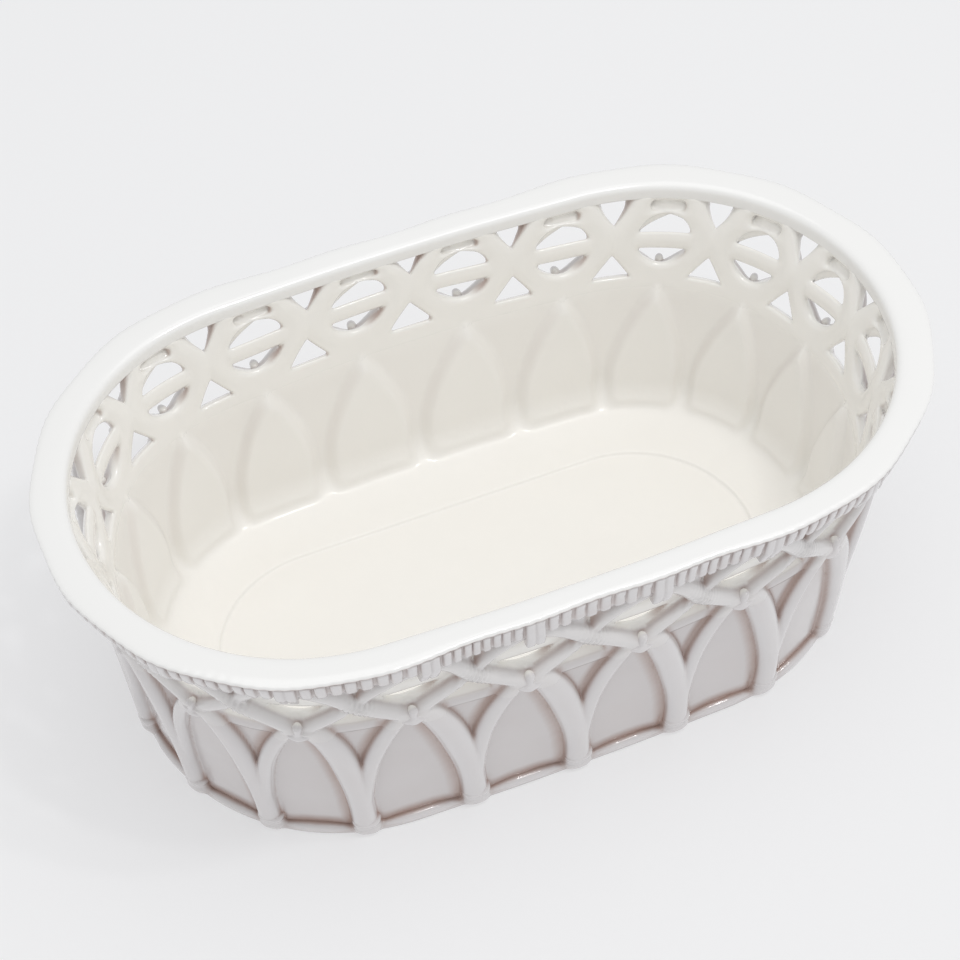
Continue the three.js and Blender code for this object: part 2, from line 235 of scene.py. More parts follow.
class CachepotSettings(PropertyGroup):
    """Sizes, glazes and light that a user would change."""

    arches: IntProperty(name="Arches", description="Arches round the pot", default=20, min=8)
    arch_cane_width: measure("Arch cane width", "Width of the canes of the arches", 0.0122)
    arch_cane_proud: measure("Arch cane height", "How far the arches stand off the wall", 0.0051)
    cane_width: measure("Gallery cane width", "Width of the crossing canes", 0.0074)
    cane_proud: measure("Gallery cane height", "How far the crossing canes stand off the wall",
                        0.0046)
    loop_width: measure("Loop width", "Width of the loop over each arch tip", 0.0037)
    panel_swell: measure("Panel swell", "How far the inner wall swells in between the canes",
                         0.0034)
    rim_overhang: measure("Rim overhang", "How far the rim reaches beyond the wall", 0.008)
    reeds: IntProperty(name="Reeds", description="Reeds under the rim for each arch", default=10)
    long_reeds: IntProperty(
        name="Long reeds", description="Reeds that hang lower over each arch tip", default=2)
    glaze_ripple: FloatProperty(
        name="Glaze ripple", description="Strength of the glaze's fine unevenness",
        default=0.25, subtype="FACTOR", min=0.0, max=1.0)
    inside_glaze: colour("Inside glaze", "Ivory glaze of the inside", (0.945, 0.925, 0.883))
    # The outside, gallery and panel colours are the white glaze painted darker: painted shade on
    # the outer walls, darkest on the plain wall between the arches.
    outside_glaze_shaded: colour("Outside glaze", "Glaze on the canes outside", (0.745, 0.725, 0.728))
    gallery_glaze_shaded: colour("Gallery glaze", "Glaze on the gallery", (0.775, 0.757, 0.752))
    panel_glaze_shaded: colour("Panel glaze outside", "Glaze on the plain wall between the arches",
                        (0.70, 0.68, 0.683))
    rim_glaze: colour("Rim glaze", "White glaze of the rim", (0.915, 0.908, 0.893))
    # The smoky colour stands for glaze pooled in the hollows and for painted shade beside the canes
    # and on the inner panels.
    pooled_glaze_and_shade: colour("Pooled glaze", "Smoky glaze in the hollows of the relief",
                         (0.43, 0.30, 0.255))
    clay_blush: colour("Clay blush", "Clay that shows through on worn edges",
                       (0.72, 0.56, 0.50))
    foot_clay: colour("Foot clay", "Bare clay of the foot", (0.72, 0.66, 0.56))
    # The table's glow is painted light: it keeps the pot's shadow on the table faint, and lights
    # the pot's lower walls from below.
    table_paper: colour("Table", "Pale light table the pot stands on", (0.42, 0.42, 0.42))
    table_glow: colour("Table glow", "Colour of the light table's glow", (0.985, 0.985, 1.0))
    table_glow_strength: FloatProperty(
        name="Table glow strength", description="Strength of the light table's glow", default=0.475)
    room_light: colour("Room light", "Colour of the soft light all round", (0.98, 0.99, 1.0))
    room_strength: FloatProperty(
        name="Room strength", description="Strength of the soft light all round", default=0.67)
    overhead_power: FloatProperty(
        name="Overhead softbox", description="Power of the broad softbox above", default=5.7,
        unit="POWER")
    lamp_power: FloatProperty(
        name="Lamps", description="Power of each of the two small lamps at the front right",
        default=1.6, unit="POWER")


# The clay of the wall: heights and fields over the flat wall drawing. x runs along the wall
# from the middle of one arch, z up and w outwards. A field is negative inside the clay.

# Middle lines of the legs and canes. A leg's points hold a level and the distance from the
# middle of its arch, a cane's the distance and the level. Distances are shares of an arch.
ARCH_TIP = 83.0
FALLING_LEG = ((0, 0.487), (13, 0.487), (23, 0.473), (33, 0.445), (43, 0.4), (53, 0.345),
               (62, 0.284), (70, 0.214), (76, 0.134), (82, 0.025), (90, -0.12))
RISING_LEG = ((0, 0.483), (20, 0.48), (31.5, 0.465), (44.5, 0.425), (54.5, 0.372), (64.5, 0.285),
              (72, 0.195), (79, 0.085), (84.5, -0.01), (90, -0.12))
RISING_CANE = ((-0.07, 78.6), (0.0, 79.6), (0.1, 81.6), (0.2, 85.0), (0.35, 90.0), (0.49, 95.4),
               (0.57, 100.6), (0.65, 105.2), (0.77, 109.0), (0.9, 111.4), (1.03, 113.0))
FALLING_CANE = ((-0.07, 78.6), (0.0, 79.6), (0.1, 81.6), (0.2, 85.0), (0.35, 90.0), (0.5, 95.4),
                (0.6, 99.6), (0.7, 103.8), (0.83, 108.4), (1.0, 112.6))
RISING_SHARE = 0.64          # width of the leg that rises to the right beside the broad one
CROSSING_LEVEL = 95.4

# The gallery's openings. Their heights are counted from the ovals' level.
FLARE = 0.16                 # how much they widen for each millimetre outwards
OVAL_SPACE = 21.0            # clay between two ovals
OVAL_HALF_HEIGHT = 12.0
OVAL_RISE = 1.2
SLOT_RISE = 17.2
SLOT_HALF_LENGTH = 5.4
SLOT_HALF_HEIGHT = 1.8
UPPER_GAP_TIP = 11.4
UPPER_GAP_TOP = 20.0
UPPER_GAP_CORNER = 20.4
UPPER_GAP_HALF = (8.3, 6.0)  # half width on the inside and the least one
SILL_DROP = 16.2             # sill of the lower gap
GAP_REACH = 8.6              # half of the strip that the upper and lower gaps lie in
FRAME_TOP = 113.0            # the canes frame nothing above this level
BAR_RISE = 1.8
BAR_HALF_HEIGHT = 4.6
BAR_REACH = 15.0

# The knot over each arch's tip.
LOOP_FOOT, LOOP_TOP = 77.4, 83.4
LOOP_STAND, LOOP_DEPTH = 3.3, 2.4
TIE_LEVEL, TIE_STAND = 77.6, 3.6
TIE_HALF = (5.2, 2.0, 2.6)   # along, upright and outwards

# The roll and the collars round the foot.
ROLL_HALF = (1.1, 2.3)       # half its height beside the collars and between them
COLLAR_MIDDLE, COLLAR_HALF = 5.3, 4.4
COLLAR_SIZE = (5.7, 4.7)     # half its width and how far it stands off
COLLAR_RIDGES = ((3.4, 1.5), (8.0, 1.3))

# The reeds under the rim.
REED_SHARE = 0.395           # half a reed's width, as a share of its place
REED_ROUND = 0.9
REED_TOP = 121.6
REED_FOOT, LONG_REED_FOOT = 112.9, 107.2
REED_TURN, LONG_REED_TURN = 0.8, 1.6

# Probes for where the glaze pools: reach along the surface's normal and share of the pooled glaze.
CREASE_PROBES = ((0.9, 0.25), (2.0, 0.35), (4.0, 0.3))
# Reaches of the probes for the two broad bands: painted shade beside what stands proud to the
# right, and glaze pooled above what stands proud below.
BAND_REACHES = (1.0, 2.0, 3.0, 4.0, 5.0)
# Most smoky colour a point takes, pooled glaze and painted shade together.
FULL_POOL_AND_SHADE = 0.85


def settings():
    return bpy.context.scene.cachepot


def mm(length):
    return length / MM


def leg_line(z, leg):
    """Distance of a leg's middle from the middle of its arch, and what its lean narrows it by."""
    line = smooth_path(leg, 6)
    distance, ahead = (np.interp(level, line[:, 0], line[:, 1]) * pitch() for level in (z, z + 1.0))
    return distance, 1 / np.sqrt(1 + (ahead - distance) ** 2)


def cane_height(d, half, proud):
    t = np.abs(d) / half
    return np.where(t < 1, proud * (1 - np.minimum(t, 1) ** 2.3) ** 0.55, (1 - t) * half * 2.5)


def arcade_height(x, z):
    """Height of the arches over the plain wall. The leg that falls to the right is the broad
    one and lies on top."""
    s = settings()
    p = pitch()
    broad, proud = mm(s.arch_cane_width) / 2, mm(s.arch_cane_proud)
    broad = broad * (0.93 + 0.1 * step(15, 48, z) - 0.14 * step(62, 80, z))
    line, across = leg_line(z, FALLING_LEG)
    right = np.minimum(np.abs(x - line), np.abs(x + p - line)) * across
    line, across = leg_line(z, RISING_LEG)
    left = np.minimum(np.abs(x + line), np.abs(x - p + line)) * across
    top = cane_height(right, broad, proud)
    under = cane_height(left, broad * RISING_SHARE, proud * mix(0.8, 0.9, step(20, 60, z)))
    return soft_max(0.0, soft_max(top, under, 0.35), 1.1)


def smooth_path(points, steps):
    """Points of a smooth line through the given ones, evenly cut between them."""
    knots = np.array(points)
    ends = np.vstack([2 * knots[0] - knots[1], knots, 2 * knots[-1] - knots[-2]])
    out = []
    for a, b, c, d in zip(ends, ends[1:], ends[2:], ends[3:]):
        t = np.arange(steps)[:, None] / steps
        out.append(0.5 * (2 * b + (c - a) * t + (2 * a - 5 * b + 4 * c - d) * t ** 2
                          + (3 * b - a - 3 * c + d) * t ** 3))
    return np.vstack(out + [knots[-1:]])


def path_distance(x, z, path):
    """Distance in the wall drawing to a line of points."""
    best = np.full(np.broadcast(x, z).shape, 1e9)
    for (ax, az), (bx, bz) in zip(path, path[1:]):
        dx, dz = bx - ax, bz - az
        t = np.clip(((x - ax) * dx + (z - az) * dz) / (dx * dx + dz * dz), 0.0, 1.0)
        best = np.minimum(best, (x - ax - t * dx) ** 2 + (z - az - t * dz) ** 2)
    return np.sqrt(best)


def cane_field(d, w, half, proud):
    """A half round cane on the wall's face, with a shallow root in the wall."""
    lift = np.where(w > 0, w / proud, w / 2.4)
    return (np.sqrt((d / half) ** 2 + lift ** 2) - 1) * half


def fold(x):
    p = pitch()
    return x - p * np.round(x / p)


def gallery_openings(x, z, w, canes):
    """Field of the holes of the gallery. Each has its own shape on the inside and opens
    outwards until only the canes frame it. A bar crosses each oval near the inside."""
    p = pitch()
    depth = w + WALL
    grow = FLARE * depth
    off_oval = np.abs(x)
    off_gap = p / 2 - off_oval
    half_length, half_height = (p - OVAL_SPACE) / 2 + grow, OVAL_HALF_HEIGHT + grow
    up = (z - OVAL_LEVEL - OVAL_RISE) / half_height
    oval = (np.sqrt((x / half_length) ** 2 + up ** 2) - 1) * 11.0
    up = z - (OVAL_LEVEL + SLOT_RISE - 0.6 * depth)
    slot = np.hypot(np.maximum(off_oval - SLOT_HALF_LENGTH, 0), up) - SLOT_HALF_HEIGHT - 0.5 * grow
    tip = OVAL_LEVEL + UPPER_GAP_TIP - 1.7 * depth
    spread = np.maximum(UPPER_GAP_HALF[0] - 0.45 * depth, UPPER_GAP_HALF[1])
    side = 0.8 * (off_gap - spread * (z - tip) / (OVAL_LEVEL + UPPER_GAP_CORNER - tip))
    upper = soft_max(side, off_gap - 0.9 - spread, 1.0)
    upper = soft_max(upper, z - OVAL_LEVEL - UPPER_GAP_TOP, 1.2)
    slope = (off_gap * 12.0 + (z - OVAL_LEVEL + 6.4) * 9.2) / 15.1 - grow
    sill = np.maximum(OVAL_LEVEL - SILL_DROP - 0.8 * depth, GALLERY_FOOT + 0.7)
    lower = soft_max(soft_max(slope, off_gap - GAP_REACH, 1.5), sill - z, 1.2)
    shapes = np.minimum(np.minimum(oval, slot), np.minimum(upper, lower))
    frames = np.maximum(mm(settings().cane_width) / 2 * 0.85 - canes, -4.2)
    frames = np.maximum(frames, np.maximum(sill - z, z - FRAME_TOP))
    frames = np.maximum(frames, off_gap - GAP_REACH - 40 * step(83, 88, z))
    frames = np.maximum(frames, GAP_REACH - off_gap - 40 * step(104, 99, z))
    frames = frames + 6 * (1 - step(-3.6, 0.4, w))
    bar = BAR_HALF_HEIGHT - 0.35 * depth - np.abs(z - OVAL_LEVEL - BAR_RISE + 0.9 * depth)
    bar = soft_min(bar, -0.4 - w, 1.0)
    bar = np.minimum(bar, BAR_REACH - off_oval)
    return soft_max(soft_min(shapes, frames, 0.8), bar, 1.4)


def cane_distances(x, z):
    """Distances to the cane that rises to the right and to the one that falls to the right."""
    p = pitch()
    rising, falling = ([(share * p, level) for share, level in path]
                       for path in (smooth_path(RISING_CANE, 4), smooth_path(FALLING_CANE, 4)))
    up = np.minimum(path_distance(x, z, rising), path_distance(x + p, z, rising))
    down = np.minimum(path_distance(-x, z, falling), path_distance(p - x, z, falling))
    return up, down


def inner_panel(x, z):
    """1 on the pointed panels of the inner wall, which swell behind the arches."""
    rise = np.clip((z - 30.0) / 47.5, 0.0, 1.1)
    spread = pitch() / 2 - 2.6
    across = 1 / np.sqrt(1 + (spread * 1.7 * rise ** 0.7 / 49.0) ** 2)
    off = (spread * (1 - rise ** 1.7) - np.sqrt(x * x + 2.5)) * across
    return step(-1.2, 3.8, soft_min(off, z - 13.0, 4.0))


def gallery_field(x, z, w):
    """The pierced gallery: its slab with the openings, the crossing canes, and the tops of the
    arches that run up into it."""
    s = settings()
    p = pitch()
    x = fold(x)
    rising, falling = cane_distances(x, z)
    nearest = np.minimum(rising, falling)
    face = 0.8 + 4.0 * step(112.5, 116.5, z)
    pillow = 0.9 * step(-0.3, 6.5, gallery_openings(x, z, -WALL, nearest)) * step(80, 95, z)
    inner = WALL - 0.15 * step(80, 88, z) + pillow + mm(s.panel_swell) * inner_panel(x, z)
    slab = np.maximum(w - face, -inner - w)
    slab = soft_max(slab, -gallery_openings(x, z, w, nearest), 2.4)
    cross = np.exp(-((np.abs(x) - p / 2) ** 2 + (z - CROSSING_LEVEL) ** 2) / 50.0)
    half, proud = mm(s.cane_width) / 2, mm(s.cane_proud)
    under = cane_field(rising, w, half * 0.87, proud * (0.9 - 0.2 * cross))
    over = cane_field(falling, w, half * 1.05, proud * (1.0 + 0.12 * cross))
    canes = soft_min(under, over, 0.5)
    canes -= 0.32 * cross * np.sin((fold(x - p / 2) * 0.95 - (z - 95) * 0.45) * 2.5)
    relief = arcade_height(x, z)
    legs = np.maximum((w - relief) * 0.7, z - ARCH_TIP + 2.5)
    legs = np.maximum(np.maximum(legs, np.minimum(0.8 - relief, z - 77.9)), -w - 2.0)
    whole = soft_min(soft_min(slab, canes, 1.1), legs, 1.2)
    whole = whole + 0.03 * step(GALLERY_FOOT - 0.1, GALLERY_FOOT - 0.9, z)
    return np.maximum(whole, np.maximum(GALLERY_FOOT - 1.2 - z, z - GALLERY_TOP))


def knot_field(x, z, w):
    """The upright loop over an arch's tip and the short tie across it."""
    s = settings()
    x = fold(x)
    half = mm(s.loop_width) / 2
    lean = 0.08 * (z - 82)
    up = z - np.clip(z, LOOP_FOOT, LOOP_TOP)
    out = (w - LOOP_STAND) * half / LOOP_DEPTH
    loop = np.sqrt((x - lean) ** 2 + up ** 2 + out ** 2) - half
    along, upright, outwards = TIE_HALF
    up, out = (z - TIE_LEVEL - 0.04 * x ** 2) / upright, (w - TIE_STAND) / outwards
    tie = np.sqrt((x / along) ** 2 + up ** 2 + out ** 2)
    return soft_min(loop, (tie - 1) * 2.2, 1.4)


def foot_field(x, z, w):
    """The roll round the foot, which swells between the arches' feet, the thin edge it lies
    on, and a collar of two ridges on each foot."""
    p = pitch()
    off_foot = p / 2 - np.abs(fold(x))
    r = mix(*ROLL_HALF, step(0.1, 0.85, off_foot / (p / 2)))
    roll = (np.sqrt(((z - 0.7 - r) / r) ** 2 + ((w - 0.5) / (r + 0.5)) ** 2) - 1) * r
    edge = (np.sqrt(((z - 1.0) / 0.8) ** 2 + ((w - 0.4) / 2.6) ** 2) - 1) * 0.8
    ridge = np.maximum(*(np.exp(-((z - level) / half) ** 2) for level, half in COLLAR_RIDGES))
    wide, reach = (size + 0.6 * ridge for size in COLLAR_SIZE)
    collar = ((np.abs(off_foot) / wide) ** 2.8 + (np.maximum(w, 0) / reach) ** 2.3) ** (1 / 2.5)
    collar = soft_max((collar - 1) * 4.5, np.abs(z - COLLAR_MIDDLE) - COLLAR_HALF, 1.2)
    whole = soft_min(soft_min(roll, edge, 0.4), collar, 0.8)
    return np.maximum(np.maximum(whole, 0.3 - z), -1.2 - w)


def edge_reach(u):
    """How far the rim and its reeds stand off the wall: a little further over each arch."""
    overhang = mm(settings().rim_overhang)
    return overhang - 0.45 + 0.45 * np.cos(2 * np.pi * (u - 0.5))


def clay_field(x, z, w):
    """Everything near the wall's face, for finding where the glaze pools and where shade is
    painted.
    """
    wall = np.maximum((w - arcade_height(fold(x), z)) * 0.8, z - 79.5)
    band = np.maximum(np.maximum(w - 7.0, 4.6 - w), np.maximum(115.5 - z, z - HEIGHT))
    near = np.minimum(np.minimum(wall, gallery_field(x, z, w)), knot_field(x, z, w))
    near = np.minimum(near, edge_field(x, z, w))
    return np.minimum(np.minimum(near, foot_field(x, z, w)), band)


def gradient(field, x, z, w, h=0.05):
    return np.stack([
        field(x + h, z, w) - field(x - h, z, w),
        field(x, z + h, w) - field(x, z - h, w),
        field(x, z, w + h) - field(x, z, w - h),
    ], -1) / (2 * h)


def pooling_and_shade(x, z, w, normal):
    """How much smoky colour lies on each point: glaze pooled in creases and in a broad band on the
    wall where something stands proud below it, and a broad band of painted shade, with some pooled
    glaze, where something stands proud to its right."""
    creases = 0.0
    for reach, share in CREASE_PROBES:
        at = [c + normal[:, i] * reach for i, c in enumerate((x, z, w))]
        creases = creases + share * np.clip(1 - clay_field(*at) / reach, 0.0, 1.2)
    low = np.maximum(1 - step(0.8, 3.4, w), 0.75 * step(104, 107, z) * step(4.0, 5.0, w))
    right, below = 0.0, 0.0
    # right gathers painted shade, with some pooled glaze, beside what stands proud to the right;
    # below gathers glaze pooled above what stands proud underneath.
    for reach in BAND_REACHES:
        right = right + 0.2 * step(1.4, -0.7, clay_field(x + reach, z - 0.3, w + 2.2))
        below = below + 0.2 * step(1.0, -0.7, clay_field(x + 0.2, z - 1.1 * reach, w + 1.7))
    gallery = step(76, 82, z)
    band = np.maximum(right * (1 - 0.6 * gallery), 0.85 * below * (1 - gallery))
    creases = 0.7 * creases * (0.4 + 0.6 * low) * (1 - 0.45 * gallery)
    return np.clip(creases + 0.82 * band * (0.1 + 0.9 * low), 0.0, FULL_POOL_AND_SHADE)


def net_module(field, levels, reach, cell):
    """Skin of a field over one arch: points in the wall drawing, and quads with, for each
    corner, which arch it belongs to. Neighbouring arches share their edge points."""
    p = pitch()
    nx = int(round(p / cell))
    dx = p / nx
    z = np.arange(levels[0], levels[1] + cell, cell)
    w = np.arange(reach[0], reach[1] + cell, cell)
    x = -p / 2 + dx * np.arange(nx)
    f = field(x[:, None, None], z[None, :, None], w[None, None, :])
    f = np.concatenate([f, f[:1]], 0)
    inside = f < 0
    shape = (nx, len(z) - 1, len(w) - 1)
    total = np.zeros(shape + (3,))
    count = np.zeros(shape)
    corner = [(i, j, k) for i in (0, 1) for j in (0, 1) for k in (0, 1)]

    def at(array, c):
        return array[c[0]:c[0] + shape[0], c[1]:c[1] + shape[1], c[2]:c[2] + shape[2]]

    for a in corner:
        for axis in range(3):
            if a[axis]:
                continue
            b = tuple(1 if n == axis else v for n, v in enumerate(a))
            fa, fb = at(f, a), at(f, b)
            cut = at(inside, a) != at(inside, b)
            t = np.where(cut, fa / np.where(cut, fa - fb, 1.0), 0.0)
            count += cut
            for n in range(3):
                total[..., n] += np.where(cut, a[n] + (t if n == axis else 0.0), 0.0)
    used = count > 0
    number = np.full(shape, -1, np.int64)
    number[used] = np.arange(used.sum())
    i, j, k = np.nonzero(used)
    local = total[used] / count[used][:, None]
    points = np.stack([x[0] + (i + local[:, 0]) * dx, z[0] + (j + local[:, 1]) * cell,
                       w[0] + (k + local[:, 2]) * cell], -1)
    for _ in range(3):
        value = field(*points.T)
        slope = gradient(field, *points.T)
        move = value[:, None] * slope / np.maximum((slope ** 2).sum(1), 0.05)[:, None]
        size = np.linalg.norm(move, axis=1, keepdims=True)
        points -= move * np.minimum(1.0, 0.4 * cell / np.maximum(size, 1e-9))
    quads, owners = [], []
    for axis in range(3):
        if axis == 0:
            first, second = inside[:-1, 1:-1, 1:-1], inside[1:, 1:-1, 1:-1]
        elif axis == 1:
            first, second = inside[:-1, :-1, 1:-1], inside[:-1, 1:, 1:-1]
        else:
            first, second = inside[:-1, 1:-1, :-1], inside[:-1, 1:-1, 1:]
        for forward in (True, False):
            here = (first & ~second) if forward else (~first & second)
            ci, cj, ck = np.nonzero(here)
            cj = cj + (axis != 1)
            ck = ck + (axis != 2)
            ring = {0: ((0, -1, -1), (0, 0, -1), (0, 0, 0), (0, -1, 0)),
                    1: ((-1, 0, -1), (-1, 0, 0), (0, 0, 0), (0, 0, -1)),
                    2: ((-1, -1, 0), (0, -1, 0), (0, 0, 0), (-1, 0, 0))}[axis]
            cells = ring if forward else ring[::-1]
            quad = np.stack([number[(ci + a) % nx, cj + b, ck + c] for a, b, c in cells], -1)
            owner = np.stack([np.where(ci + a < 0, -1, 0) for a, b, c in cells], -1)
            quads.append(quad)
            owners.append(owner)
    return points, np.vstack(quads), np.vstack(owners)


def spread_module(points, quads, owners):
    """Copies one arch's skin round the pot, each copy set by hand."""
    count = arch_count()
    vertices, faces = [], []
    u = points[:, 0] / pitch() + 0.5
    for k in range(count):
        around = u + k
        z = points[:, 1] + hand_cut(around, points[:, 1])
        vertices.append(place(around + hand_set(around, points[:, 1]), z, points[:, 2]))
        faces.append(quads + (owners + k) % count * len(points))
    return np.vstack(vertices), np.vstack(faces)


def set_off(u, offsets, start):
    """Smooth line through one row of hand offsets, which are given in hundredths."""
    at = np.asarray(u) - start
    low = np.floor(at)
    offsets = np.array(offsets) / 100.0
    here = np.take(offsets, low.astype(int) % len(offsets))
    following = np.take(offsets, (low.astype(int) + 1) % len(offsets))
    return mix(here, following, step(0.0, 1.0, at - low))


def hand_set(u, z):
    """The feet, knots and long reeds are set by hand, so the arches lean a little."""
    foot, knot, edge = (set_off(u, row, start) for row, start in
                        ((FOOT_SET, 0.0), (KNOT_SET, 0.5), (EDGE_SET, 0.5)))
    lower = mix(foot, knot, step(4, 78, z))
    return mix(lower, edge, step(84, 114, z))


def hand_cut(u, z):
    """The gallery's gaps are cut by hand, some a little higher than others."""
    return set_off(u, CUT_SET, 0.0) * step(GALLERY_FOOT, 84, z) * step(118, 110, z)


def oval_row(u, half, radius, z):
    """Points round a plain oval row."""
    share, bend, flip_x, flip_y = stations(u)
    x = (half * share + radius * np.sin(bend)) * flip_x
    y = -radius * np.cos(bend) * flip_y
    return np.stack(np.broadcast_arrays(x, y, z), -1) * MM


def reed_field(dx, z, w, low, reach, pull):
    """One upright reed: a rounded bar whose lower end turns in."""
    half = REED_SHARE * pitch() / settings().reeds
    face = reach - pull * step(low + 8, low, z)
    a = np.abs(dx) - half + REED_ROUND
    b = w - face + REED_ROUND
    c = np.maximum(low + 1.3 - z, z - REED_TOP)
    outer = np.sqrt(sum(np.maximum(d, 0) ** 2 for d in (a, b, c))) - REED_ROUND
    return outer + np.minimum(np.maximum(a, np.maximum(b, c)), 0)


def edge_field(x, z, w):
    """The reeds under the rim: upright bars, the two over each arch tip hanging lower."""
    s = settings()
    q = pitch() / s.reeds
    x = fold(x)
    reach = edge_reach(x / pitch() + 0.5) - 0.15
    cell = np.floor(x / q)
    core = np.abs(w - (reach + 1.1) / 2) - (reach - 4.9) / 2
    whole = np.maximum(np.abs(z - 118.3) - 4.3, core)
    for side in (-1, 0, 1):
        index = cell + side
        middle = (index + 0.5) * q
        long = (np.abs(middle) < q * s.long_reeds / 2).astype(float)
        uneven = np.sin(index * 2.7 + 0.6)
        middle = middle * mix(1.0, 0.82, long) + 0.25 * (1 - long) * uneven
        low = mix(REED_FOOT + 0.4 * uneven, LONG_REED_FOOT, long)
        pull = mix(REED_TURN, LONG_REED_TURN, long)
        whole = soft_min(whole, reed_field(x - middle, z, w, low, reach, pull), 0.5)
    return np.maximum(whole, np.maximum(z - 122.9, 2.8 - w))


# Materials.

GLAZE_IOR = 1.5
CLAY_IOR = 1.5


class Value:
    """A number socket of a material. Sums and products of values add Math nodes."""

    def __init__(self, shader, socket):
        self.shader, self.socket = shader, socket

    def math(self, operation, first, second, clamp=False):
        node = self.shader.node("ShaderNodeMath", {"operation": operation, "use_clamp": clamp},
                                {0: first, 1: second})
        return Value(self.shader, node.outputs[0])

    def __add__(self, other):
        return self.math("ADD", self, other)

    __radd__ = __add__

    def __sub__(self, other):
        return self.math("SUBTRACT", self, other)

    def __rsub__(self, other):
        return self.math("SUBTRACT", other, self)

    def __mul__(self, other):
        return self.math("MULTIPLY", self, other)

    __rmul__ = __mul__

    def limit(self):
        return self.math("ADD", self, 0.0, clamp=True)


class Shader:
    """Builds one node material."""

    def __init__(self, name):
        self.material = bpy.data.materials.new(name)
        self.material.use_nodes = True
        self.tree = self.material.node_tree
        self.tree.nodes.clear()

    def node(self, kind, settings=None, inputs=None):
        node = self.tree.nodes.new(kind)
        for key, value in (settings or {}).items():
            setattr(node, key, value)
        for key, value in (inputs or {}).items():
            socket = node.inputs[key]
            if isinstance(value, Value):
                value = value.socket
            if isinstance(value, bpy.types.NodeSocket):
                self.tree.links.new(value, socket)
            else:
                socket.default_value = value
        return node

    def value(self, node, output):
        return Value(self, node.outputs[output])

    def mark(self, name):
        node = self.node("ShaderNodeAttribute", {"attribute_name": name})
        return self.value(node, "Fac")

    def noise(self, size, detail=2.0, rough=0.5):
        """Noise with blotches about size metres across, from 0 to 1."""
        coordinates = self.node("ShaderNodeTexCoord")
        node = self.node("ShaderNodeTexNoise", {"noise_dimensions": "3D"},
                         {"Vector": coordinates.outputs["Object"], "Scale": 1.0 / size,
                          "Detail": detail, "Roughness": rough})
        return self.value(node, "Fac")

    def blend(self, factor, first, second):
        """Mixes two colours, given as colours or sockets."""
        node = self.node("ShaderNodeMix", {"data_type": "RGBA"},
                         {0: factor, 6: first, 7: second})
        return node.outputs[2]

    def finish(self, sockets, bump):
        """Closes the material with a Principled shader, and a Bump node for its fine surface."""
        height, strength, distance = bump
        rise = self.node("ShaderNodeBump", {}, {"Strength": strength, "Distance": distance,
                                                "Height": height})
        sockets["Normal"] = rise.outputs["Normal"]
        shader = self.node("ShaderNodeBsdfPrincipled", {}, sockets)
        self.node("ShaderNodeOutputMaterial", {}, {"Surface": shader.outputs[0]})
        return self.material


def opaque(colour):
    return (*colour, 1.0)


def glaze(name, body, shaded_panel_colour, pool_and_shade_depth=1.0, blotch=0.05, waves=(0.011, 0.35), coat=0.6,
          gloss=0.13):
    """White glaze over pale clay. It runs off edges, where the clay warms it, and pools in the
    hollows of the relief, where it turns a smoky rose brown. The same smoky colour also stands for
    painted shade beside the canes and on the inner panels, and the darker panel colour is painted
    shade on the plain wall between the arches. The waves are the width of the glaze's ripples in
    metres and their height in millimetres."""
    s = settings()
    pool_and_shade_colour = opaque(s.pooled_glaze_and_shade)
    g = Shader(name)
    cloud = g.noise(0.03, 3.0)
    speck = g.noise(0.0032, 2.0)
    ripple = g.noise(waves[0], 1.0)
    pool_and_shade = g.mark("pool_and_shade")
    panel = g.mark("panel")
    bare = g.mark("bare")
    cream = g.mark("cream")
    uneven = 0.72 + 0.56 * cloud
    # The smoky colour comes from the mark for pooled glaze and painted shade.
    amount = (pool_and_shade * uneven * pool_and_shade_depth).limit()
    # The plain wall between the arches takes the darker panel colour: painted shade in the
    # recesses.
    base = g.blend((panel * (0.75 + 0.5 * cloud)).limit(), opaque(body), opaque(shaded_panel_colour))
    base = g.blend(cream, base, opaque(s.inside_glaze))
    base = g.blend((blotch * 2 * (cloud - 0.35)).limit(), base, pool_and_shade_colour)
    base = g.blend(amount, base, pool_and_shade_colour)
    base = g.blend((bare * (0.5 + 0.9 * speck)).limit(), base, opaque(s.clay_blush))
    rough = gloss + 0.1 * cloud + 0.1 * bare
    return g.finish({"Base Color": base, "Roughness": rough, "IOR": GLAZE_IOR,
                     "Coat Weight": coat, "Coat Roughness": 0.08},
                    (ripple * 0.85 + speck * 0.15, s.glaze_ripple, waves[1] * MM))


def bare_clay():
    """Unglazed foot: matt and finely sandy."""
    s = settings()
    g = Shader("turned_clay")
    grain = g.noise(0.0006, 4.0, 0.6)
    cloud = g.noise(0.02, 2.0)
    base = g.blend((0.6 * cloud + 0.4 * grain).limit(), opaque(s.foot_clay),
                   opaque(tuple(0.9 * c for c in s.foot_clay)))
    return g.finish({"Base Color": base, "Roughness": 0.75 + 0.15 * grain, "IOR": CLAY_IOR},
                    (grain, 0.5, 0.2 * MM))


def rows_piece(rows, columns_u, ring, caps=False):
    """Joins rows of points round the pot into one skin."""
    columns = len(columns_u)
    vertices = np.vstack(rows)
    faces = [loop_faces(len(rows), columns, ring)]
    if caps:
        faces += [cap_faces(0, columns, False), cap_faces((len(rows) - 1) * columns, columns, True)]
    return vertices, np.vstack(faces)


